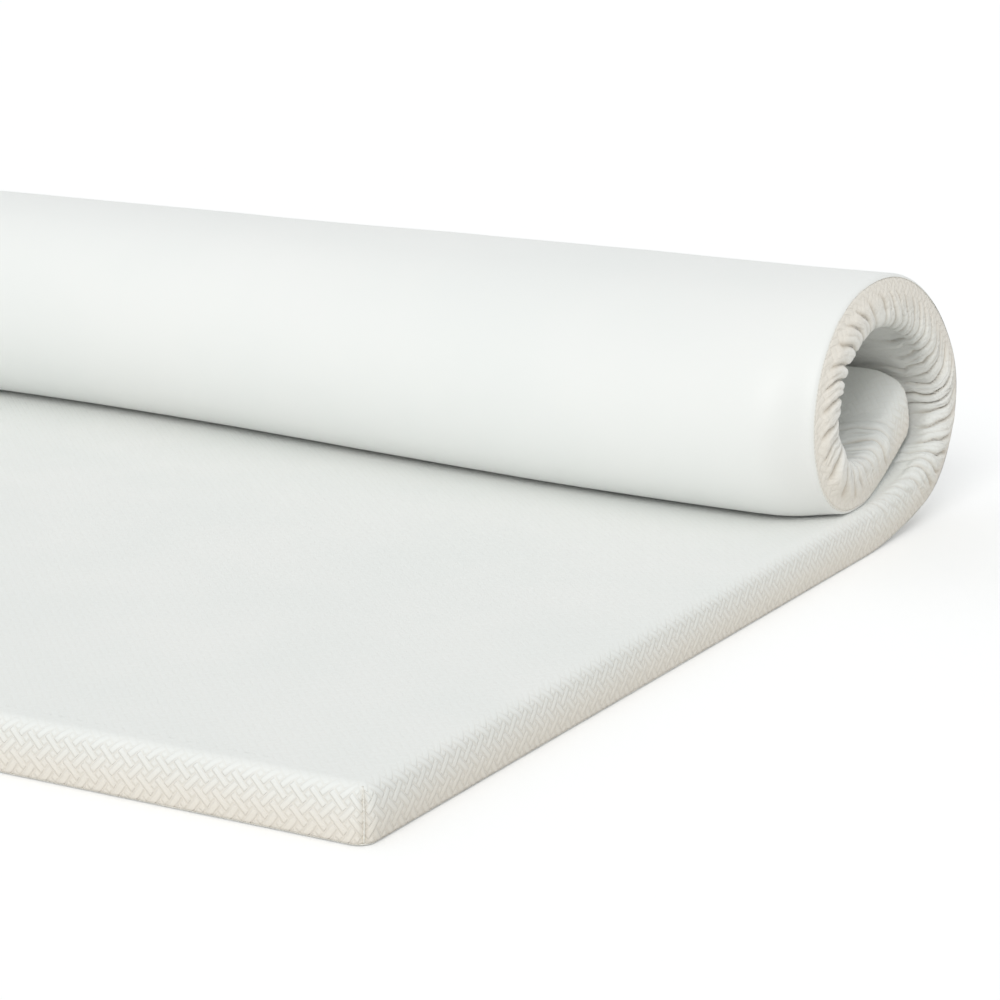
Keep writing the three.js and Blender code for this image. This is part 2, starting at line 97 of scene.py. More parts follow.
def turn(start, to_degrees, radius):
    y, z, heading = start
    to = math.radians(to_degrees)
    centre = (y - radius * math.sin(heading), z + radius * math.cos(heading))
    end = (centre[0] + radius * math.sin(to), centre[1] - radius * math.cos(to), to)
    run = (radius - thickness / 2) * (to - heading)
    return {"start": start, "end": end, "radius": radius, "centre": centre, "turn": to - heading, "run": run}


def straight(start, run):
    y, z, heading = start
    end = (y + run * math.cos(heading), z + run * math.sin(heading), heading)
    return {"start": start, "end": end, "radius": 1.0, "centre": (0, 0), "turn": 0.0, "run": run}


# %% The chain of arcs and straights
rolled = []
at = (0.0, 0.0, 0.0)
for to_degrees, share in roll_turns:
    rolled.append(turn(at, to_degrees, roll_radius * share))
    at = rolled[-1]["end"]
rolled.append(turn(at, 360, (at[1] - thickness - touch_gap) / (1 - math.cos(at[2]))))
foot = rolled[-1]["end"]
rolled.append(straight(foot, -foot[0]))
for to_degrees, share in inner_turns:
    rolled.append(turn(rolled[-1]["end"], to_degrees, roll_radius * share))
tip_y, tip_z, tip_heading = rolled[-1]["end"]
wall, crown = rolled[3], rolled[5]
wall_inside = wall["centre"][0] + wall["radius"] - thickness
rolled.append(straight(rolled[-1]["end"], (wall_inside - tip_to_wall - tip_y) / math.cos(tip_heading)))
tip_z = rolled[-1]["end"][1]
rolled_length = sum(s["run"] for s in rolled)
flat_length = length - rolled_length
stretches = [straight((-flat_length, 0.0, 0.0), flat_length)] + rolled
starts = np.concatenate([[0], np.cumsum([s["run"] for s in stretches])[:-1]])
crown_at, foot_turn_at, foot_at, tip_at = starts[6], starts[9], starts[10], starts[-1]
hollow_height = crown["centre"][1] + crown["radius"] - 2 * thickness
corner_top = tip_z + thickness * math.cos(tip_heading) + end_slide / 2 * math.sin(tip_heading)
corner_droop = thickness + hollow_height * end_top_share - corner_top
print("flat part", round(flat_length * 1000), "mm, rolled part", round(rolled_length * 1000), "mm")


# %% How the hand-made roll strays
set_back_at_foot, set_back_at_tip = 8 * mm, 26 * mm
foot_ahead, foot_behind, foot_swing = 44 * mm, 49 * mm, (0.06, 0.81)
foot_drawn_back, foot_drawn_reach = 38 * mm, 34 * mm
corner_droop_reach = 50 * mm
pressed_share, pressed_height, pressed_fade = 0.62, 9 * mm, 90 * mm


def smooth(share):
    share = np.clip(share, 0, 1)
    return share * share * (3 - 2 * share)


def set_back(along):
    to_foot = smooth((along - flat_length) / (foot_at - flat_length))
    to_tip = smooth((along - foot_at) / (tip_at - foot_at))
    return set_back_at_foot * to_foot + (set_back_at_tip - set_back_at_foot) * to_tip


def foot_shift(across):
    from_right = width / 2 - across
    swung = smooth((from_right / width - foot_swing[0]) / (foot_swing[1] - foot_swing[0]))
    wander = -foot_ahead + (foot_ahead + foot_behind) * swung
    return wander + foot_drawn_back * np.exp(-((from_right / foot_drawn_reach) ** 2))


def end_rise(across):
    from_side = (width / 2 - np.abs(across)) / corner_droop_reach
    return corner_droop * (1 - (1 - np.clip(from_side, 0, 1)) ** 2)


# %% The slab's place in the frame
start_y, start_z, start_heading = np.array([s["start"] for s in stretches]).T
centre_y, centre_z = np.array([s["centre"] for s in stretches]).T
radii, turns, runs = (np.array([s[key] for s in stretches]) for key in ("radius", "turn", "run"))
bottom_inset = cad_seam_inset + math.sqrt((cad_seam_radius + touch_gap) ** 2 - cad_seam_radius**2)
low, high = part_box("cover_bottom")
shift_x = high.x - (width / 2 - bottom_inset)
shift_y = low.y + flat_length - bottom_inset
print("roll from y", round(shift_y, 4), "middle at x", round(shift_x, 4))


# %% Bending a flat slab into the roll
def bend(flat):
    """Carries rows of (across, along, height) on the flat slab to their places in the frame."""
    across, along, height = flat.T
    resting = 1 - smooth((along - flat_length) / pressed_fade)
    height = height * (1 - pressed_share * resting * np.exp(-((height / pressed_height) ** 2)))
    shift = foot_shift(across)
    lean = shift * smooth((along - crown_at) / (foot_at - crown_at))
    inside = along >= foot_at
    left = 1 - smooth((along - foot_at) / (tip_at - foot_at))
    to_end = smooth((along - foot_at) / (length - foot_at))
    slide = end_slide * to_end * (height / thickness - 0.5)
    slid = np.where(inside, along + shift * left + slide, along)
    k = np.searchsorted(starts, np.where(inside, np.maximum(slid, foot_at), along), side="right") - 1
    k = np.clip(k, 0, len(starts) - 1)
    into = slid - starts[k]
    heading = start_heading[k] + turns[k] * into / runs[k]
    sin, cos = np.sin(heading), np.cos(heading)
    reach = radii[k] - height
    curved = turns[k] > 0
    y = np.where(curved, centre_y[k] + reach * sin, start_y[k] + into * cos - height * sin)
    z = np.where(curved, centre_z[k] - reach * cos, start_z[k] + into * sin + height * cos)
    z = z + end_rise(across) * to_end**1.5
    y = y + np.where(inside, 0, lean) + shift_y
    return np.stack([across - set_back(along) + shift_x, y, z], 1)


# %% [markdown]
# ## The cloth pattern
# A cover like this is cut as one sheet with a square out of each corner. The four flaps fold down over the
# sides and their cut edges are sewn together: that is the upright seam at each corner. `fold` does the same
# to the points of a flat sheet. Round a corner it turns squares into circles, so the corner comes out round.

# %% Folding the sheet over the slab
hem_height, tuck = 4 * mm, 2 * mm
side_puff, side_draw_in = 1.3 * mm, 1.6 * mm
edge_out = corner_radius - top_edge_radius
side_out = edge_out + top_edge_radius * math.pi / 2
side_drop = thickness - top_edge_radius - hem_height
hem_out = side_out + side_drop


def top_section(out):
    """Section of the jacquard over an edge: reach from the corner's centre, height and outward normal."""
    rounding = np.clip((out - edge_out) / top_edge_radius, 0, math.pi / 2)
    down = np.clip(out - side_out, 0, None)
    share = np.clip(down / side_drop, 0, 1)
    puff = side_puff * np.sin(math.pi * share) - side_draw_in * share**4
    reach = np.where(rounding > 0, edge_out + top_edge_radius * np.sin(rounding), out)
    reach = reach + puff - np.clip(down - side_drop, 0, None)
    height = thickness - top_edge_radius * (1 - np.cos(rounding)) - np.clip(down, 0, side_drop)
    return reach, height, np.sin(rounding), np.cos(rounding)


def outward(x, y):
    """How far out a point of the sheet lies from the corner's centre line, how far round, and which way."""
    dx = np.abs(x) - (width / 2 - corner_radius)
    near, far = corner_radius - y, y - (length - corner_radius)
    dy = np.maximum(near, far)
    side = dx >= dy
    out = np.where(side, dx, dy)
    lateral = np.clip(np.where(side, dy, dx), 0, corner_radius)
    return out, lateral, side, np.sign(x), np.where(near > far, -1.0, 1.0)


def fold(x, y, section):
    """Rows of (across, along, height) on the flat slab for points of a flat sheet, and their normals."""
    out, lateral, side, way_x, way_y = outward(x, y)
    reach, height, normal_out, normal_up = section(out)
    angle = np.clip(math.pi / 4 * lateral / np.clip(out, 1e-9, corner_radius), 0, math.pi / 4)
    round_corner = lateral > 0
    along_out, along_side = np.cos(angle), np.sin(angle)
    out_x = np.where(side, along_out, along_side) * way_x
    out_y = np.where(side, along_side, along_out) * way_y
    centre_across = way_x * (width / 2 - corner_radius)
    centre_along = np.where(way_y < 0, corner_radius, length - corner_radius)
    across = np.where(side | round_corner, centre_across + reach * out_x, x)
    along = np.where(~side | round_corner, centre_along + reach * out_y, y)
    normal = np.stack([out_x * normal_out, out_y * normal_out, normal_up], 1)
    return np.stack([across, along, height], 1), normal


# %% Soft random values
def noise(x, y=0.0, seed=0):
    """Smooth random values from -1 to 1 that change over a distance of 1."""
    table = np.random.default_rng(seed).uniform(-1, 1, (256, 256))
    x, y = np.broadcast_arrays(np.asarray(x, float), np.asarray(y, float))
    i, j = np.floor(x).astype(int), np.floor(y).astype(int)
    u, v = smooth(x - i), smooth(y - j)
    at = lambda a, b: table[(i + a) % 256, (j + b) % 256]
    return (at(0, 0) * (1 - u) + at(1, 0) * u) * (1 - v) + (at(0, 1) * (1 - u) + at(1, 1) * u) * v


# %% [markdown]
# ## The basket weave
# The jacquard shows short bars at 45 degrees. Rows of bars that rise to the right alternate with rows that
# fall, and a small square pillow sits in each gap. Turned by 45 degrees this is a plain square lattice: each
# crossing holds a bar that lies one way or the other, in turn, and each cell's middle holds a pillow. The
# same lattice is written twice, here for the mesh and further down as shader nodes.

# %% Height of the weave
weave_period = 18 * mm
bar_half, bar_reach, pillow_half, pillow_height = 0.235, 0.275, 0.22, 0.85
bar_softness, reach_softness = 0.11, 0.06


def ramp(distance, edge, soft=bar_softness):
    return smooth((edge - distance) / soft)


def weave(x, y):
    """Height of the weave at each point of the pattern, from 0 in a groove to 1 on a bar."""
    a, b = (x + y) / weave_period, (x - y) / weave_period
    i, j = np.round(a), np.round(b)
    a, b = np.abs(a - i), np.abs(b - j)
    odd = (i + j) % 2 == 1
    lengthways, sideways = np.where(odd, b, a), np.where(odd, a, b)
    own = ramp(sideways, bar_half)
    next_bar = ramp(lengthways, bar_half) * ramp(-sideways, -bar_reach, reach_softness)
    pillow = ramp(np.maximum(0.5 - a, 0.5 - b), pillow_half) * pillow_height
    return np.maximum(own, np.maximum(next_bar, pillow))


# %% [markdown]
# ## Gathers
# When the slab bends, the side cloth has too much length near the inner face and buckles into folds. How
# much too much grows with the curvature and with the height on the side. A wave of pitch p takes up a spare
# share e when its height is about p / pi * sqrt(e). Each fold is a thick rope, and some ropes split into two
# strands. They slant up the side, wander, and die out a little way over the inner face, as in the
# photograph. A cloth simulation would also fold the cloth, but a sheet 2 m long with folds of 10 to 20 mm
# takes it far too long.

# %% Sizes of the folds
strand_pitch, pitch_spread, pitch_run = 10.6 * mm, 0.34, 37 * mm
foot_bend_reach, foot_bend_widening = 75 * mm, 0.45
slant_on_side, slant_lost_at_foot, slant_on_face = 0.8, 0.5, 0.3
side_reach, face_from = 52 * mm, 46 * mm
spare_gain, spare_most, spare_from = 0.9, 0.55, 7 * mm
fold_height_gain, fold_unevenness, hem_height_share = 2.6, 0.4, 0.42
rope_lost_to_strands, strand_height, left_end_start = 0.45, 0.34, 0.37
shortest_on_face, spread_on_face, left_end_share = 20 * mm, 46 * mm, 0.4
lift_most_outside, lift_most_inside = 10.5 * mm, 12.5 * mm

# %% Curvature and fold lines along the slab
step = 1 * mm
ruler = np.arange(-60 * mm, length + 60 * mm, step)
ruler_k = np.clip(np.searchsorted(starts, ruler, side="right") - 1, 0, len(starts) - 1)
raw_curvature = np.where(turns[ruler_k] > 0, 1 / (radii[ruler_k] - thickness / 2), 0)
kernel = np.exp(-0.5 * (np.arange(-45, 46) / 14) ** 2)
curvature_table = np.convolve(raw_curvature, kernel / kernel.sum(), mode="same")
foot_bend = np.exp(-(((ruler - foot_turn_at) / foot_bend_reach) ** 2))
pitch_table = strand_pitch * (1 + pitch_spread * noise(ruler / pitch_run, 3.5, seed=4))
pitch_table = pitch_table * (1 + foot_bend_widening * foot_bend)
fold_count_table = np.cumsum(step / pitch_table)
print("about", round(fold_count_table[-1]), "strands fit along each side")


def ridges(count, roundness):
    """Round-backed ridges with narrower valleys between them, one for each whole number."""
    leaning = count + 0.09 * np.sin(2 * math.pi * count)
    return np.abs(np.sin(math.pi * leaning)) ** roundness


def slant(x, y, inward):
    """Where along the slab the fold through each point starts: folds slant, and wander twice over."""
    end_row = 20 * np.sign(x)
    slope = slant_on_side - slant_lost_at_foot * np.interp(y, ruler, foot_bend)
    on_side = np.clip(inward, 0, side_reach) - 50 * mm
    on_face = np.clip(inward - face_from, 0, None)
    slanted = y + slope * smooth((y - flat_length) / (80 * mm)) * on_side + slant_on_face * on_face
    slanted = slanted + 7.5 * mm * noise(y / (38 * mm), inward / (26 * mm) + end_row, seed=6)
    return slanted + 2.6 * mm * noise(y / (13 * mm), inward / (10 * mm) + end_row, seed=8)


def freedom(y, on_face, curvature):
    """1 where the cloth is free to fold, 0 where it is straight, lies on the flat part or is the tip's."""
    resting = np.interp(y, flat_length + np.array([-10, 20, 130, 175]) * mm, [0, 1, 1, 0])
    tip = 1 - smooth((y - tip_at + 50 * mm) / (45 * mm))
    return (1 - resting * smooth(on_face / (10 * mm))) * tip * smooth(curvature / 2.5)


def gathers(x, y, out):
    """For each point: how far its fold stands off the foam, how deep it lies in a fold's valley, which sets
    the painted shade there, how gathered it is, and its place across and along the folds."""
    inward = hem_out - out
    end_row = 20 * np.sign(x)
    on_face = np.clip(inward - face_from, 0, None)
    height = np.clip(hem_height + inward, 0, thickness)
    slanted = slant(x, y, inward)
    curvature = np.interp(y, ruler, curvature_table)
    spare = spare_gain * np.clip(curvature * (height - spare_from), 0, spare_most)
    count = np.interp(slanted, ruler, fold_count_table) + left_end_start * (x < 0)
    uneven = 1 + fold_unevenness * noise(slanted / (23 * mm), end_row + inward / (30 * mm), seed=7)
    grown = hem_height_share + (1 - hem_height_share) * smooth(inward / (44 * mm))
    rope_pitch = 2 * np.interp(slanted, ruler, pitch_table)
    swell = rope_pitch / math.pi * np.sqrt(spare) * fold_height_gain * uneven * grown
    split = np.clip(0.5 + 0.9 * noise(slanted / (31 * mm), inward / (20 * mm) + end_row, seed=9), 0, 1)
    ropes, strands = ridges(count / 2, 1.0), ridges(count, 0.8)
    shape = (1 - rope_lost_to_strands * split) * ropes + strand_height * split * strands
    long_rope = np.clip(0.5 + 0.9 * noise(np.floor(count / 2) * 2.3, end_row, seed=14), 0, 1)
    reach_in = shortest_on_face + spread_on_face * long_rope * np.where(x > 0, 1, left_end_share)
    fade = np.exp(-((on_face / reach_in) ** 2)) * smooth((inward - 2.5 * mm) / (15 * mm))
    free = freedom(y, on_face, curvature)
    most = np.where(y < crown_at, lift_most_outside, lift_most_inside)
    lift = most * np.tanh(swell * shape / most) * fade * free
    # depth is how far down a fold's valley a point lies; the jacquard turns it into painted shade.
    depth = np.maximum((1 - ropes) ** 2, 0.6 * split * (1 - strands) ** 2) * fade**2 * free
    slack = smooth(spare / 0.1)
    return lift, np.clip(depth * slack, 0, 1), fade * free * slack, slanted, inward


# %% [markdown]
# ## Grids of cloth
# A sheet of cloth is a bmesh grid. Its rows and columns are moved to uneven places, close together where the
# cloth folds and far apart where it lies flat, so the points go where the shape needs them.

# %% From grid to piece
def lines(*marks):
    """Places from mark to mark. Each mark is a place and the spacing wanted after it."""
    places = [marks[0][0]]
    for (start, spacing), (end, _) in zip(marks, marks[1:]):
        count = max(1, round((end - start) / spacing))
        places += [start + (end - start) * (k + 1) / count for k in range(count)]
    return places


def grid(across_lines, along_lines):
    bm = bmesh.new()
    nx, ny = len(across_lines) - 1, len(along_lines) - 1
    bmesh.ops.create_grid(bm, x_segments=nx, y_segments=ny, size=1)
    for vert in bm.verts:
        vert.co.x = across_lines[round((vert.co.x + 1) / 2 * nx)]
        vert.co.y = along_lines[round((vert.co.y + 1) / 2 * ny)]
    return bm


def object_from(name, bm, material):
    mesh = bpy.data.meshes.new(name)
    bm.to_mesh(mesh)
    bm.free()
    mesh.materials.append(material)
    obj = bpy.data.objects.new(name, mesh)
    bpy.context.scene.collection.objects.link(obj)
    return obj


def piece(name, bm, material, body="topper"):
    obj = object_from(name, bm, material)
    obj.data.polygons.foreach_set("use_smooth", [True] * len(obj.data.polygons))
    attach(obj, body)
    return obj


def points(mesh):
    flat = np.empty(len(mesh.vertices) * 3)
    mesh.vertices.foreach_get("co", flat)
    return flat.reshape(-1, 3)


def set_points(mesh, rows):
    mesh.vertices.foreach_set("co", np.ascontiguousarray(rows, dtype=np.float32).ravel())
    mesh.update()


def pattern_uv(mesh, flat):
    """Keeps each point's place on the flat pattern as the UV map, in metres."""
    corners = np.empty(len(mesh.loops), dtype=np.int32)
    mesh.loops.foreach_get("vertex_index", corners)
    layer = mesh.uv_layers.new(name="pattern")
    layer.data.foreach_set("uv", flat[corners, :2].astype(np.float32).ravel())


def keep_values(mesh, name, values):
    """Keeps one number for each point, which a material can read by its name."""
    layer = mesh.attributes.new(name, "FLOAT", "POINT")
    layer.data.foreach_set("value", np.ascontiguousarray(values, dtype=np.float32))


# %% [markdown]
# ## Shader nodes in a few words
# Each finish is a node material. `Nodes` keeps the calls short: one line adds a node and links its inputs.

# %% A small node writer
def srgb(*values):
    """A colour as a paint chart gives it, 0 to 255, turned into Blender's linear values."""
    linear = [(v / 255 / 12.92) if v / 255 <= 0.04045 else ((v / 255 + 0.055) / 1.055) ** 2.4 for v in values]
    return (*linear, 1.0)


class Nodes:
    def __init__(self, name):
        self.material = bpy.data.materials.new(name)
        self.material.use_nodes = True
        self.tree = self.material.node_tree
        self.shader = self.tree.nodes["Principled BSDF"]

    def add(self, kind, **settings):
        node = self.tree.nodes.new(kind)
        for key, value in settings.items():
            setattr(node, key, value)
        return node

    def put(self, socket, value):
        if isinstance(value, bpy.types.NodeSocket):
            self.tree.links.new(value, socket)
        else:
            socket.default_value = value

    def fill(self, node, **values):
        for name, value in values.items():
            self.put(node.inputs[name.replace("_", " ")], value)

    def math(self, operation, *values):
        node = self.add("ShaderNodeMath", operation=operation)
        for socket, value in zip(node.inputs, values):
            self.put(socket, value)
        return node.outputs[0]

    def step(self, value, start, end, low=0.0, high=1.0):
        """Runs smoothly from low to high while value goes from start to end."""
        node = self.add("ShaderNodeMapRange", interpolation_type="SMOOTHSTEP")
        for socket, given in zip(node.inputs, (value, start, end, low, high)):
            self.put(socket, given)
        return node.outputs[0]

    def mix(self, share, a, b):
        node = self.add("ShaderNodeMix", data_type="RGBA")
        for name, given in (("Factor_Float", share), ("A_Color", a), ("B_Color", b)):
            self.put(next(s for s in node.inputs if s.identifier == name), given)
        return next(s for s in node.outputs if s.identifier == "Result_Color")

    def noise(self, where, scale, detail=2.0, roughness=0.5):
        node = self.add("ShaderNodeTexNoise")
        self.fill(node, Vector=where, Scale=scale, Detail=detail, Roughness=roughness)
        return node.outputs["Fac"]

    def waves(self, where, scale, direction="DIAGONAL", distortion=0.0):
        node = self.add("ShaderNodeTexWave", bands_direction=direction)
        self.fill(node, Vector=where, Scale=scale, Distortion=distortion)
        return node.outputs["Fac"]

    def bump(self, height, distance, strength=1.0, under=None):
        node = self.add("ShaderNodeBump")
        self.fill(node, Height=height, Distance=distance, Strength=strength)
        if under is not None:
            self.fill(node, Normal=under)
        return node.outputs["Normal"]

    def kept(self, name):
        """Numbers that a piece keeps for each of its points."""
        return self.add("ShaderNodeAttribute", attribute_name=name).outputs["Fac"]

    def pattern(self):
        """Place on the piece's own flat pattern, in metres."""
        return self.add("ShaderNodeUVMap", uv_map="pattern").outputs["UV"]

    def place(self):
        """Place in the frame, in metres."""
        return self.add("ShaderNodeTexCoord").outputs["Object"]

    def finish(self, **sockets):
        self.fill(self.shader, **sockets)
        return self.material


# %% [markdown]
# ## Jacquard finish
# The lattice of the weave is worked out again in nodes from the pattern map. Its height drives the bump, and
# also tints the grooves a little darker and warmer than the bars, as painted shade. A very fine bump is the
# knit's own loops, and a third one draws small wrinkles along the folds. How deep the weave is, how much
# painted warm bounce light the cloth gets, how much painted shade darkens its fold valleys and how gathered
# it is differ from place to place, so the mesh keeps a number for each at every point, and the nodes read
# these by name.

# %% The jacquard material
def jacquard():
    n = Nodes("white_jacquard_knit")
    where = n.pattern()
    split = n.add("ShaderNodeSeparateXYZ")
    n.put(split.inputs[0], where)
    x, y = split.outputs[0], split.outputs[1]
    a = n.math("DIVIDE", n.math("ADD", x, y), weave_period)
    b = n.math("DIVIDE", n.math("SUBTRACT", x, y), weave_period)
    i, j = n.math("ROUND", a), n.math("ROUND", b)
    a, b = n.math("ABSOLUTE", n.math("SUBTRACT", a, i)), n.math("ABSOLUTE", n.math("SUBTRACT", b, j))
    odd = n.math("FLOORED_MODULO", n.math("ADD", i, j), 2.0)
    change = n.math("MULTIPLY", odd, n.math("SUBTRACT", b, a))
    lengthways, sideways = n.math("ADD", a, change), n.math("SUBTRACT", b, change)
    own = n.step(sideways, bar_half, bar_half - bar_softness)
    beside = n.step(lengthways, bar_half, bar_half - bar_softness)
    next_bar = n.math("MULTIPLY", beside, n.step(sideways, bar_reach, bar_reach + reach_softness))
    far = n.math("MAXIMUM", n.math("SUBTRACT", 0.5, a), n.math("SUBTRACT", 0.5, b))
    pillow = n.math("MULTIPLY", n.step(far, pillow_half, pillow_half - bar_softness), pillow_height)
    height = n.math("MAXIMUM", own, n.math("MAXIMUM", next_bar, pillow))
    depth = n.kept("weave_depth")
    patches = n.step(n.noise(where, 6.0, 3.0), 0.3, 0.7)
    cloth = n.mix(patches, srgb(239, 241, 238), srgb(242, 243, 240))
    # Painted light: the sides, a little more on the roll, are tinted warmer, standing in for warm light from
    # the floor.
    cloth = n.mix(n.kept("painted_warm_bounce"), cloth, srgb(240, 235, 226))
    # Painted shade: the grooves between the bars are tinted darker and warmer, where shade falls in the
    # weave.
    groove = n.math("MULTIPLY", n.step(height, 0.6, 0.0), depth)
    colour = n.mix(n.math("MULTIPLY", groove, 0.26), cloth, srgb(222, 214, 200))
    # Painted shade: fold valleys and the corner seams' grooves are tinted darker and warmer, where shade
    # falls.
    colour = n.mix(n.math("MULTIPLY", n.kept("crease_shade"), 0.8), colour, srgb(200, 188, 170))
    loops = n.bump(n.noise(where, 900.0, 1.0), 0.12 * mm, 0.5)
    relief = n.bump(n.math("MULTIPLY", height, depth), 0.65 * mm, 0.9, under=loops)
    fold_place = n.add("ShaderNodeCombineXYZ")
    n.put(fold_place.inputs[0], n.math("MULTIPLY", n.kept("across_folds"), 210.0))
    n.put(fold_place.inputs[1], n.math("MULTIPLY", n.kept("along_folds"), 60.0))
    wrinkles = n.math("MULTIPLY", n.noise(fold_place.outputs[0], 1.0, 3.0), n.kept("gathered"))
    relief = n.bump(wrinkles, 2.2 * mm, 1.0, under=relief)
    return n.finish(Base_Color=colour, Normal=relief, Roughness=0.85, Sheen_Weight=0.25, Sheen_Roughness=0.5)


jacquard_knit = jacquard()
print("material", jacquard_knit.name, "with", len(jacquard_knit.node_tree.nodes), "nodes")

# %% [markdown]
# ## Top cloth
# One grid is the whole sheet. Its corner squares are deleted, its near flap is divided more finely for the
# weave, and the slot for the zip is cut in the far flap. Then every point is folded, lifted along its normal
# by weave, gathers and puckers, and bent. At the four corners the flaps' cut edges meet and are welded.

# %% The sheet before folding
flap = hem_out - corner_radius + tuck
zip_half, zip_height, zip_gap = 640 * mm, 26 * mm, 12 * mm
slot_heights = (zip_height + zip_gap / 2, zip_height - zip_gap / 2)
slot_start = length - corner_radius + side_out + thickness - top_edge_radius
slot_y = [slot_start - height for height in slot_heights]
edge_spacing, bent_spacing, plain_spacing = 2.2 * mm, 1.8 * mm, 15 * mm
fine_half, plain_half, near_reach = 680 * mm, 600 * mm, 24 * mm
left_marks = [(-width / 2 - flap, edge_spacing), (-width / 2, edge_spacing), (-fine_half, 3.2 * mm)]
middle_marks = [(-zip_half, 3.6 * mm), (-plain_half, plain_spacing)]
middle_marks += [(plain_half, 3.6 * mm), (zip_half, 3.2 * mm)]
right_marks = [(fine_half, edge_spacing), (width / 2, edge_spacing), (width / 2 + flap, 1)]
flat_marks = [(-flap, edge_spacing), (0, edge_spacing), (near_reach, 2.5 * mm)]
roll_marks = [(flat_length - 20 * mm, bent_spacing), (length - 20 * mm, edge_spacing), (length, edge_spacing)]
slot_marks = [(slot_y[0], edge_spacing), (slot_y[1], edge_spacing), (length + flap, 1)]
bm = grid(lines(*left_marks, *middle_marks, *right_marks), lines(*flat_marks, *roll_marks, *slot_marks))
print("grid of", len(bm.verts), "points")


# %% Cutting out the corners and the slot
def faces_where(bm, wanted):
    return [face for face in bm.faces if wanted(*face.calc_center_median().xy)]


def wide_near_edge(edge):
    near = all(vert.co.y < near_reach + mm and abs(vert.co.x) < plain_half + mm for vert in edge.verts)
    return near and abs(edge.verts[0].co.x - edge.verts[1].co.x) > plain_spacing / 3


corners = faces_where(bm, lambda x, y: abs(x) > width / 2 and not 0 < y < length)
bmesh.ops.delete(bm, geom=corners, context="FACES")
slot = faces_where(bm, lambda x, y: abs(x) < zip_half and slot_y[0] < y < slot_y[1])
bmesh.ops.delete(bm, geom=slot, context="FACES")
wide_edges = [edge for edge in bm.edges if wide_near_edge(edge)]
bmesh.ops.subdivide_edges(bm, edges=wide_edges, cuts=5, use_grid_fill=True)
print("sheet of", len(bm.verts), "points")

# %% Fold, lift and bend the top cloth
weave_relief, seam_groove, pucker_height, pucker_pitch = 0.42 * mm, 1.5 * mm, 0.55 * mm, 7.5 * mm
cover_top = piece("cover_top_cloth", bm, jacquard_knit)
sheet = points(cover_top.data)
pattern_uv(cover_top.data, sheet)
x, y = sheet[:, 0], sheet[:, 1]
out, lateral, side, _, _ = outward(x, y)
flat, normal = fold(x, y, top_section)
folds, crease_shade, gathered, across_folds, along_folds = gathers(x, y, out)
on_side = side | (out < 0)
folds, crease_shade, gathered = folds * on_side, crease_shade * on_side, gathered * on_side
seam_far = corner_radius - lateral
seam_share = np.exp(-((seam_far / (3.2 * mm)) ** 2)) * smooth((out - 8 * mm) / (14 * mm))
down_share = smooth((out - 20 * mm) / (30 * mm))
upright = smooth((out - 7 * mm) / (15 * mm))
dense = np.clip(smooth((np.abs(x) - plain_half + 4 * mm) / (20 * mm)) + (y < near_reach + mm), 0, 1)
relief = weave_relief * (weave(x, y) - 1) * dense * smooth((hem_out - out) / (5 * mm))
relief = relief * (0.3 + 0.7 * upright) * (1 - 0.45 * gathered)
sag = 0.5 * mm * noise(x / (210 * mm), y / (170 * mm), seed=1) * smooth(-out / (40 * mm))
swell = 0.7 * mm * noise((x + y) / (70 * mm), 2.5, seed=2) * smooth((out - 6 * mm) / (20 * mm))
swell = swell * smooth(seam_far / (30 * mm))
puckers = pucker_height * np.sin(2 * math.pi * out / pucker_pitch) * np.exp(-seam_far / (9 * mm)) * down_share
lift = (relief + puckers) * (1 - seam_share) + folds + sag + swell - seam_groove * seam_share
flat = flat + normal * lift[:, None]
set_points(cover_top.data, bend(flat))
print("folds up to", round(folds.max() * 1000, 1), "mm")

# %% What the finish reads at each point
rolled_up = smooth((y - flat_length - 60 * mm) / (160 * mm))
front_band = smooth((y - crown_at) / (120 * mm)) * (1 - smooth((y - foot_at + 40 * mm) / (80 * mm))) * upright
weave_depth = (0.24 + 0.76 * upright) * (1 - 0.4 * gathered) * (1 - 0.4 * front_band)
# Painted shade: the fold valleys, and half as much along the corner seams, are kept for the jacquard to
# darken.
keep_values(cover_top.data, "crease_shade", np.maximum(crease_shade, 0.5 * seam_share))
keep_values(cover_top.data, "gathered", np.maximum(gathered, 0.5 * front_band))
keep_values(cover_top.data, "across_folds", across_folds)
keep_values(cover_top.data, "along_folds", along_folds)
keep_values(cover_top.data, "weave_depth", weave_depth)
# Painted light: a warmer tint down the sides and on the roll, standing in for warm bounce light from the
# floor.
keep_values(cover_top.data, "painted_warm_bounce", smooth((out - 14 * mm) / (40 * mm)) + 0.2 * rolled_up * upright)
print("weave depth from", round(weave_depth.min(), 2), "to", round(weave_depth.max(), 2))

# %% Sewing the corners
bm = bmesh.new()
bm.from_mesh(cover_top.data)
at_seam = (seam_far < 0.01 * mm) & (out > corner_radius - 0.1 * mm)
sewn = [vert for vert, meets in zip(bm.verts, at_seam) if meets]
bmesh.ops.remove_doubles(bm, verts=sewn, dist=0.4 * mm)
bm.to_mesh(cover_top.data)
bm.free()
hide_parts("cover_top")
print("top cloth:", len(cover_top.data.polygons), "faces")

# %% [markdown]
# ## Bottom cloth
# The smooth knit is a plain rectangle. Its edge curls up over the foam's lower edge to the seam, which gives
# the roll its soft rim. It is tight, so it has only a faint unevenness.

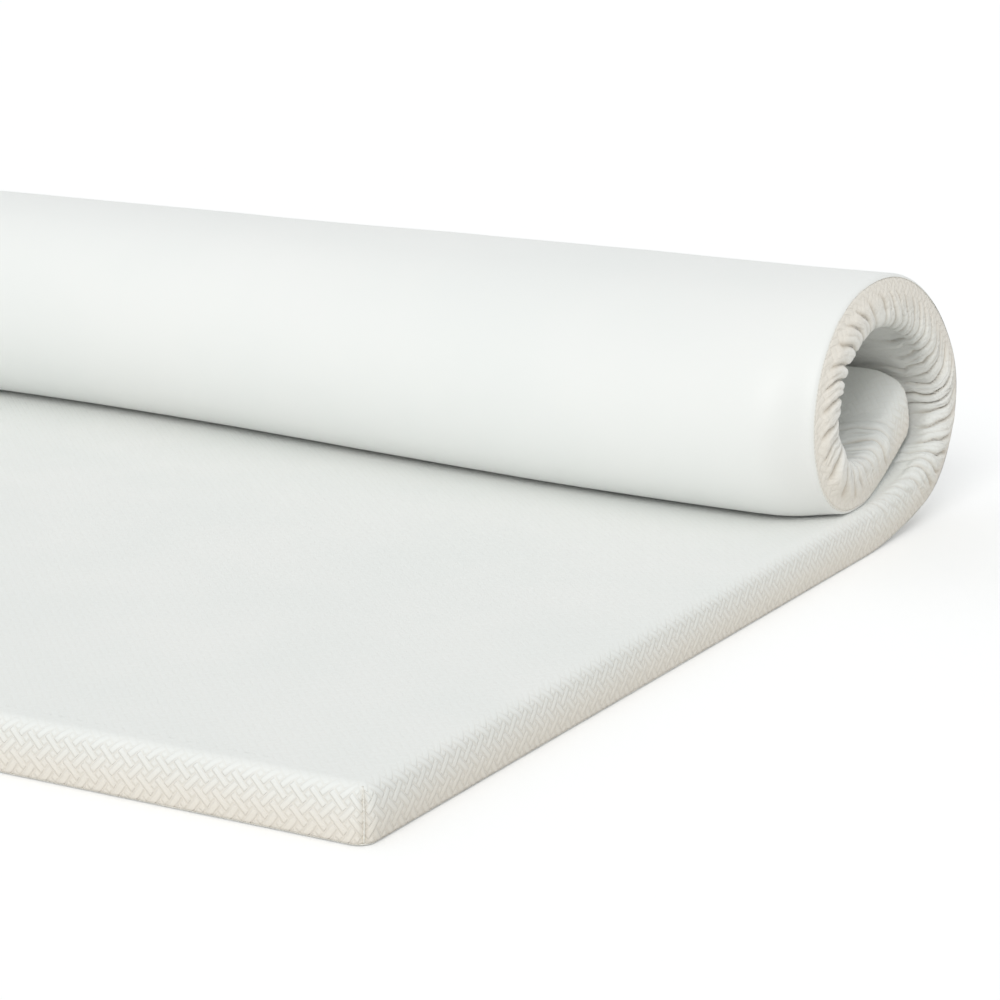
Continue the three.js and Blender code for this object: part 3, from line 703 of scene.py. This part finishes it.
# %% The smooth knit material
def smooth_knit():
    n = Nodes("white_smooth_knit")
    where = n.pattern()
    ribs = n.math("MULTIPLY", n.waves(where, 260.0, "X"), 0.5)
    loops = n.math("ADD", ribs, n.noise(where, 700.0, 1.0))
    patches = n.step(n.noise(where, 4.0, 3.0), 0.3, 0.7)
    colour = n.mix(patches, srgb(238, 240, 238), srgb(241, 242, 240))
    n.fill(n.shader, Sheen_Weight=0.15, Sheen_Roughness=0.4)
    return n.finish(Base_Color=colour, Normal=n.bump(loops, 0.06 * mm, 0.5), Roughness=0.5)


# %% Fold and bend the bottom cloth
rim_radius, rim_turn = 6 * mm, 1.15
rim_start = corner_radius - 7 * mm
rim_spacing = 1.4 * mm


def bottom_section(out):
    rounding = np.clip((out - rim_start) / rim_radius, 0, rim_turn)
    reach = np.where(rounding > 0, rim_start + rim_radius * np.sin(rounding), out)
    return reach, rim_radius * (1 - np.cos(rounding)), np.sin(rounding), -np.cos(rounding)


half = width / 2 - corner_radius + rim_start + rim_radius * rim_turn
far_edge = half - width / 2
inner_half = width / 2 - 18 * mm
left_marks = [(-half, rim_spacing), (-inner_half, 8 * mm), (-640 * mm, 20 * mm)]
right_marks = [(640 * mm, 8 * mm), (inner_half, rim_spacing), (half, 1)]
flat_marks = [(-far_edge, rim_spacing), (18 * mm, 20 * mm)]
roll_marks = [(flat_length - 40 * mm, 5 * mm), (length - 18 * mm, rim_spacing), (length + far_edge, 1)]
bm = grid(lines(*left_marks, *right_marks), lines(*flat_marks, *roll_marks))
cover_bottom = piece("cover_bottom_cloth", bm, smooth_knit())
sheet = points(cover_bottom.data)
pattern_uv(cover_bottom.data, sheet)
x, y = sheet[:, 0], sheet[:, 1]
flat, normal = fold(x, y, bottom_section)
in_roll = smooth((y - flat_length - 60 * mm) / (120 * mm)) * (1 - smooth((y - foot_at + 60 * mm) / (60 * mm)))
uneven = 0.8 * mm * noise(x / (190 * mm), y / (70 * mm), seed=11)
uneven = uneven + 0.35 * mm * noise(x / (60 * mm), y / (40 * mm), seed=12)
flat = flat + normal * (uneven * in_roll)[:, None]
set_points(cover_bottom.data, bend(flat))
cover_bottom.data.flip_normals()
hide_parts("cover_bottom")
print("bottom cloth:", len(cover_bottom.data.polygons), "faces")

# %% [markdown]
# ## Edge seam
# Where the two cloths meet, an overlocked seam runs all round as a thin ridge. It is a narrow grid rolled up
# into a tube, which follows the hem of the folded sheet.

# %% The thread material
def sewn_thread():
    n = Nodes("white_overlock_thread")
    strands = n.waves(n.pattern(), 150.0, distortion=1.5)
    colour = n.mix(strands, srgb(232, 229, 220), srgb(243, 241, 235))
    n.fill(n.shader, Sheen_Weight=0.2)
    return n.finish(Base_Color=colour, Normal=n.bump(strands, 0.3 * mm, 0.8), Roughness=0.75)


thread = sewn_thread()
print("material", thread.name)


# %% Rolling a grid into a sewn seam
def rolled_grid(name, sides, stations, runs_along):
    """A seam's piece, still flat, with the station and the angle round the seam of each of its points."""
    bm = grid(list(range(sides + 1)), list(range(stations)))
    obj = piece(name, bm, thread)
    sheet = points(obj.data)
    station = sheet[:, 1].round().astype(int)
    pattern_uv(obj.data, np.stack([sheet[:, 0] * mm, runs_along[station]], 1))
    return obj, station, sheet[:, 0] / sides * 2 * math.pi


def close_seam(obj, closed_ends):
    """Merges the edges of the rolled-up grid, closes its ends if asked, and turns all its faces out."""
    bm = bmesh.new()
    bm.from_mesh(obj.data)
    bmesh.ops.remove_doubles(bm, verts=bm.verts, dist=0.02 * mm)
    if closed_ends:
        bmesh.ops.holes_fill(bm, edges=[edge for edge in bm.edges if edge.is_boundary])
    bmesh.ops.recalc_face_normals(bm, faces=bm.faces)
    bm.to_mesh(obj.data)
    bm.free()


# %% The ring of the seam
seam_sides, seam_radius, seam_inset, seam_height = 8, 1.0 * mm, 2.7 * mm, 3.4 * mm
corner_spacing, side_spacing, end_spacing, roll_spacing = 4 * mm, 10 * mm, 20 * mm, 3 * mm
hem = hem_out - corner_radius
side_marks = [(0, corner_spacing), (corner_radius, side_spacing), (flat_length, roll_spacing)]
side_places = lines(*side_marks, (length - corner_radius, corner_spacing), (length, 1))
end_marks = [(-width / 2, corner_spacing), (-width / 2 + corner_radius, end_spacing)]
end_places = lines(*end_marks, (width / 2 - corner_radius, corner_spacing), (width / 2, 1))
ring = [(width / 2 + hem, place) for place in side_places]
ring += [(place, length + hem) for place in end_places[-2:0:-1]]
ring += [(-width / 2 - hem, place) for place in side_places[:0:-1]]
ring += [(place, -hem) for place in end_places[1:-1]]
ring = np.array(ring + ring[:1])


def seam_section(out):
    level = np.ones_like(out)
    return level * (corner_radius - seam_inset), level * seam_height, level, level * 0


path, outdir = fold(ring[:, 0], ring[:, 1], seam_section)
run = np.concatenate([[0], np.cumsum(np.hypot(*np.diff(path[:, :2], axis=0).T))])
edge_seam, station, angle = rolled_grid("edge_seam_overlock", seam_sides, len(ring), run)
bulge = seam_radius * (1 + 0.12 * noise(run[station] / (4 * mm), 1.5, seed=13))
flat = path[station] + outdir[station] * (bulge * np.cos(angle))[:, None]
flat[:, 2] += bulge * np.sin(angle)
set_points(edge_seam.data, bend(flat))
close_seam(edge_seam, closed_ends=False)
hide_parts("edge_seam")
print("edge seam:", round(run[-1], 2), "m round")

# %% [markdown]
# ## Corner seams
# Each corner seam lies in the groove that it draws in the cloth. It is the same kind of rolled-up grid, on
# the path of the flaps' cut edges.

# %% The four corner seams
thread_radius, stitch_swell, stitch_pitch, groove_depth = 0.8 * mm, 0.25, 3 * mm, 1.1 * mm


def corner_seam(name, way_x, way_y):
    outs = np.array(lines((12 * mm, 1.2 * mm), (hem_out - 1 * mm, 1)))
    reach, height, normal_out, normal_up = top_section(outs)
    centre_along = corner_radius if way_y < 0 else length - corner_radius
    centre = np.array([way_x * (width / 2 - corner_radius), centre_along])
    direction = np.array([way_x, way_y]) * math.sqrt(0.5)
    across = np.array([direction[1], -direction[0]])
    obj, station, angle = rolled_grid("corner_seam_thread_" + name, 6, len(outs), outs)
    radius = thread_radius * (1 + stitch_swell * np.cos(2 * math.pi * outs[station] / stitch_pitch))
    lift = radius * np.cos(angle) - groove_depth * smooth((outs[station] - 8 * mm) / (14 * mm))
    plan = centre + direction * (reach[station] + lift * normal_out[station])[:, None]
    plan = plan + across * (radius * np.sin(angle))[:, None]
    set_points(obj.data, bend(np.column_stack([plan, height[station] + lift * normal_up[station]])))
    close_seam(obj, closed_ends=True)
    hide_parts("corner_seam_" + name)


for way_y, end in ((-1.0, "near"), (1.0, "far")):
    for way_x, hand in ((1, "right"), (-1, "left")):
        corner_seam(end + "_" + hand, way_x, way_y)
print("corner seams made")

# %% [markdown]
# ## Foam core
# The slab of foam fills the cover. It can only be seen through the zip's slot, but it is a real piece, so it
# gets its rounded edges and its open cells.

# %% The foam material and slab
def foam_finish():
    n = Nodes("cream_memory_foam")
    where = n.place()
    cells = n.add("ShaderNodeTexVoronoi")
    n.fill(cells, Vector=where, Scale=1400.0)
    patches = n.step(n.noise(where, 40.0, 4.0), 0.3, 0.7)
    colour = n.mix(patches, srgb(240, 232, 206), srgb(247, 241, 220))
    relief = n.bump(cells.outputs["Distance"], 0.3 * mm, 0.7)
    n.fill(n.shader, Subsurface_Weight=0.1, Subsurface_Scale=0.003)
    return n.finish(Base_Color=colour, Normal=relief, Roughness=0.95)


foam_inset, foam_end, foam_low, foam_high = 3.2 * mm, 5.0 * mm, 1.6 * mm, 47.6 * mm
foam_edge_radius = 9 * mm


def soften(bm, angle, radius, segments):
    """Rounds every edge that turns by more than this angle."""
    sharp = [edge for edge in bm.edges if len(edge.link_faces) == 2 and edge.calc_face_angle() > angle]
    rounding = {"offset": radius, "segments": segments, "profile": 0.5, "material": -1}
    bmesh.ops.bevel(bm, geom=sharp, affect="EDGES", clamp_overlap=True, **rounding)


x_lines = lines((-width / 2 + foam_inset, 25 * mm), (width / 2 - foam_inset, 1))
y_lines = lines((foam_inset, 30 * mm), (flat_length - 20 * mm, 8 * mm), (length - foam_end, 1))
bm = grid(x_lines, y_lines)
bmesh.ops.translate(bm, verts=bm.verts, vec=(0, 0, foam_low))
made = bmesh.ops.extrude_face_region(bm, geom=bm.faces[:])["geom"]
upper = [vert for vert in made if isinstance(vert, bmesh.types.BMVert)]
bmesh.ops.translate(bm, verts=upper, vec=(0, 0, foam_high - foam_low))
bmesh.ops.recalc_face_normals(bm, faces=bm.faces)
soften(bm, 1, foam_edge_radius, 4)
foam_slab = piece("foam_slab", bm, foam_finish())
set_points(foam_slab.data, bend(points(foam_slab.data)))
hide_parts("foam_core")
print("foam slab:", len(foam_slab.data.polygons), "faces")

# %% [markdown]
# ## Zip
# The zip is hidden in the rolled-in end. It is made on a flat, upright end face, in its own directions: x
# along the zip, y out of the cloth and z up through the thickness. `end_place` then turns it into its place.
# A coil is one nylon thread wound round the zip's line, a turn for each tooth. `spin` carries a small circle
# once round that line while it moves along, which makes one turn, and an Array modifier repeats it for the
# whole row. That is far quicker than spinning hundreds of turns.

# %% From the end face to its place
end_heading = tip_heading - math.atan(end_slide / thickness)
end_origin = bend(np.array([[0.0, length, 0.0]]))[0]


def end_place(rows):
    sin, cos = math.sin(end_heading), math.cos(end_heading)
    x, y, z = rows.T
    return end_origin + np.stack([x, y * cos - z * sin, y * sin + z * cos], 1)


def end_piece(name, bm, material, node):
    obj = piece(name, bm, material)
    rows = points(obj.data)
    pattern_uv(obj.data, rows[:, [0, 2]])
    set_points(obj.data, end_place(rows))
    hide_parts(node)
    return obj


# %% Finishes of the zip
def tape_finish():
    n = Nodes("white_zip_tape")
    twill = n.waves(n.pattern(), 420.0)
    colour = n.mix(twill, srgb(228, 226, 219), srgb(241, 240, 235))
    return n.finish(Base_Color=colour, Normal=n.bump(twill, 0.15 * mm, 0.8), Roughness=0.8)


def coil_finish():
    n = Nodes("white_nylon_coil")
    colour = n.mix(n.noise(n.place(), 300.0), srgb(236, 236, 234), srgb(246, 246, 245))
    return n.finish(Base_Color=colour, Roughness=0.35)


def metal_finish():
    n = Nodes("plated_zinc")
    scuffs = n.noise(n.place(), 900.0, 4.0, 0.7)
    colour = n.mix(scuffs, srgb(196, 198, 201), srgb(224, 226, 228))
    dulled = n.step(scuffs, 0.2, 0.9, 0.22, 0.42)
    relief = n.bump(scuffs, 0.02 * mm, 0.4)
    return n.finish(Base_Color=colour, Metallic=1.0, Roughness=dulled, Normal=relief)


# %% Woven tapes
tape_face, tape_near, tape_far, tape_half = -1.9 * mm, 1.0 * mm, 12 * mm, 648 * mm
tape_thickness, tape_ripple, ripples_per_metre = 0.45 * mm, 0.08 * mm, 900
tape_material = tape_finish()


def zip_tape(side, way):
    edges = sorted((way * tape_near, way * tape_far))
    bm = grid(lines((-tape_half, 6 * mm), (tape_half, 1)), lines((edges[0], 1.1 * mm), (edges[1], 1)))
    for vert in bm.verts:
        ripple = tape_ripple * math.sin(vert.co.x * ripples_per_metre)
        vert.co.y, vert.co.z = ripple * (abs(vert.co.y) / tape_far), vert.co.y
    bmesh.ops.translate(bm, verts=bm.verts, vec=(0, tape_face - 0.1 * mm, zip_height))
    bmesh.ops.solidify(bm, geom=bm.faces[:], thickness=tape_thickness)
    bmesh.ops.recalc_face_normals(bm, faces=bm.faces)
    end_piece("zip_tape_cloth_" + side, bm, tape_material, "zip_tape_" + side)


# %% Coils and the zip's two sides
coil_thread, coil_flattening = 0.3 * mm, 0.85
coil_reach, coil_out, coil_pitch, coil_steps = 0.76 * mm, -0.55 * mm, 1.5 * mm, 9
coil_half, coil_centre = 635 * mm, 2.1 * mm
coil_turns = int(2 * coil_half / coil_pitch)
coil_material = coil_finish()


def zip_coil(side, way):
    bm = bmesh.new()
    bmesh.ops.create_circle(bm, cap_ends=False, radius=coil_thread, segments=5)
    bmesh.ops.rotate(bm, verts=bm.verts, cent=(0, 0, 0), matrix=Matrix.Rotation(math.pi / 2, 3, "X"))
    bmesh.ops.translate(bm, verts=bm.verts, vec=(0, 0, coil_reach))
    one_turn = {"cent": (0, 0, 0), "axis": (1, 0, 0), "angle": 2 * math.pi, "steps": coil_steps}
    bmesh.ops.spin(bm, geom=bm.edges[:], dvec=(coil_pitch / coil_steps, 0, 0), use_merge=False, **one_turn)
    bmesh.ops.scale(bm, verts=bm.verts, vec=(1, coil_flattening, 1))
    bmesh.ops.translate(bm, verts=bm.verts, vec=(-coil_half, coil_out, zip_height + way * coil_centre))
    bmesh.ops.recalc_face_normals(bm, faces=bm.faces)
    coil = end_piece("zip_coil_turns_" + side, bm, coil_material, "zip_coil_" + side)
    row = coil.modifiers.new("row_of_turns", "ARRAY")
    row.count, row.use_relative_offset, row.use_constant_offset = coil_turns, False, True
    row.constant_offset_displace = (coil_pitch, 0, 0)
    row.use_merge_vertices, row.merge_threshold = True, 0.01 * mm


for side, way in (("upper", 1), ("lower", -1)):
    zip_tape(side, way)
    zip_coil(side, way)
print("zip", round(2 * tape_half * 1000), "mm long, of", coil_turns, "turns")

# %% Bar tacks
bartack_at, half_across, half_high, bartack_rise = 638.2 * mm, 1.5 * mm, 4 * mm, 0.7 * mm
stitch_height, stitch_spacing, bartack_wall = 0.12 * mm, 0.8 * mm, 0.3 * mm


def bar_tack(hand, way):
    widths = lines((-half_across, 0.25 * mm), (half_across, 1))
    bm = grid(widths, lines((-half_high, 0.2 * mm), (half_high, 1)))
    for vert in bm.verts:
        px, pz = vert.co.xy
        dome = math.sqrt(1 - (px / (half_across + 0.1 * mm)) ** 2)
        stitch = stitch_height * math.cos(2 * math.pi * pz / stitch_spacing)
        vert.co.y, vert.co.z = (bartack_rise + stitch) * dome, pz
    bmesh.ops.translate(bm, verts=bm.verts, vec=(way * bartack_at, tape_face + 0.3 * mm, zip_height))
    bmesh.ops.solidify(bm, geom=bm.faces[:], thickness=bartack_wall)
    bmesh.ops.recalc_face_normals(bm, faces=bm.faces)
    end_piece("zip_bartack_thread_" + hand, bm, thread, "zip_bartack_" + hand)


for hand, way in (("left", -1), ("right", 1)):
    bar_tack(hand, way)
print("bar tacks made")

# %% [markdown]
# ## Slider and pull tab
# The CAD solids of the slider already have the right form. Copies of them, merged and with softened edges,
# take a plated finish: real castings have no sharp edge anywhere.

# %% Softened copies of the slider and the tab
metal = metal_finish()
for node, body, edge_radius in (("slider_body", "slider", 0.22 * mm), ("pull_tab", "pull", 0.3 * mm)):
    bm = bmesh.new()
    bm.from_mesh(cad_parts[node].data)
    bmesh.ops.remove_doubles(bm, verts=bm.verts, dist=0.005 * mm)
    bmesh.ops.dissolve_limit(bm, angle_limit=0.02, verts=bm.verts, edges=bm.edges)
    soften(bm, 0.6, edge_radius, 3)
    obj = piece(node + "_plated", bm, metal, body=body)
    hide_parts(node)
    print(obj.name, len(obj.data.polygons), "faces")

# %% [markdown]
# ## Floor and light
# The photograph shows the topper on plain white with a soft shadow. The camera sees a white floor that glows
# a little, so it renders white where nothing shades it, and it still takes the shadow. The light that the
# floor throws back on the topper is a little darker and warmer. An even sky gives most of the light, and the
# camera and the plated metal see it as plain white. One broad lamp from the front, a little to the right,
# models the folds. Together they light a level face with a strength of about one, so a colour renders about
# as it is written.

# %% Floor
white, glow_seen, floor_half = (1.0, 1.0, 1.0, 1.0), 0.12, 40


def floor_white():
    n = Nodes("white_floor")
    seen = n.add("ShaderNodeLightPath").outputs["Is Camera Ray"]
    colour = n.mix(seen, (0.80, 0.78, 0.745, 1.0), white)
    glow = n.math("MULTIPLY", seen, glow_seen)
    n.fill(n.shader, Emission_Color=white, Specular_IOR_Level=0.0)
    return n.finish(Base_Color=colour, Emission_Strength=glow, Roughness=1.0)


floor_ends = [-floor_half, floor_half]
floor = object_from("floor", grid(floor_ends, floor_ends), floor_white())
print("floor", 2 * floor_half, "m across")

# %% Sky
sky_strength = 0.735
world = bpy.data.worlds.new("studio")
bpy.context.scene.world = world
world.use_nodes = True
tree = world.node_tree
rays = tree.nodes.new("ShaderNodeLightPath")
seen = tree.nodes.new("ShaderNodeMath")
seen.operation = "MAXIMUM"
tree.links.new(rays.outputs["Is Camera Ray"], seen.inputs[0])
tree.links.new(rays.outputs["Is Glossy Ray"], seen.inputs[1])
light, backdrop = tree.nodes["Background"], tree.nodes.new("ShaderNodeBackground")
light.inputs["Color"].default_value = (0.985, 1.0, 1.0, 1.0)
light.inputs["Strength"].default_value = sky_strength
backdrop.inputs["Color"].default_value = white
choice = tree.nodes.new("ShaderNodeMixShader")
for socket, source in zip(choice.inputs, (seen, light, backdrop)):
    tree.links.new(source.outputs[0], socket)
tree.links.new(choice.outputs[0], tree.nodes["World Output"].inputs["Surface"])
print("sky strength", sky_strength)

# %% Lamp
lamp_level, lamp_elevation, lamp_azimuth = 0.16, math.radians(32), math.radians(13)
lamp_data = bpy.data.lights.new("broad_lamp", "SUN")
lamp_data.angle = math.radians(24)
lamp_data.energy = lamp_level * math.pi / math.sin(lamp_elevation)
lamp = bpy.data.objects.new("broad_lamp", lamp_data)
lamp.rotation_euler = (math.pi / 2 - lamp_elevation, 0, lamp_azimuth)
bpy.context.scene.collection.objects.link(lamp)
bpy.context.scene.view_settings.view_transform = "Standard"
print("lamp energy", round(lamp_data.energy, 2))

# %% [markdown]
# ## Last step
# The view layer is updated once more.

# %% Last update
bpy.context.view_layer.update()
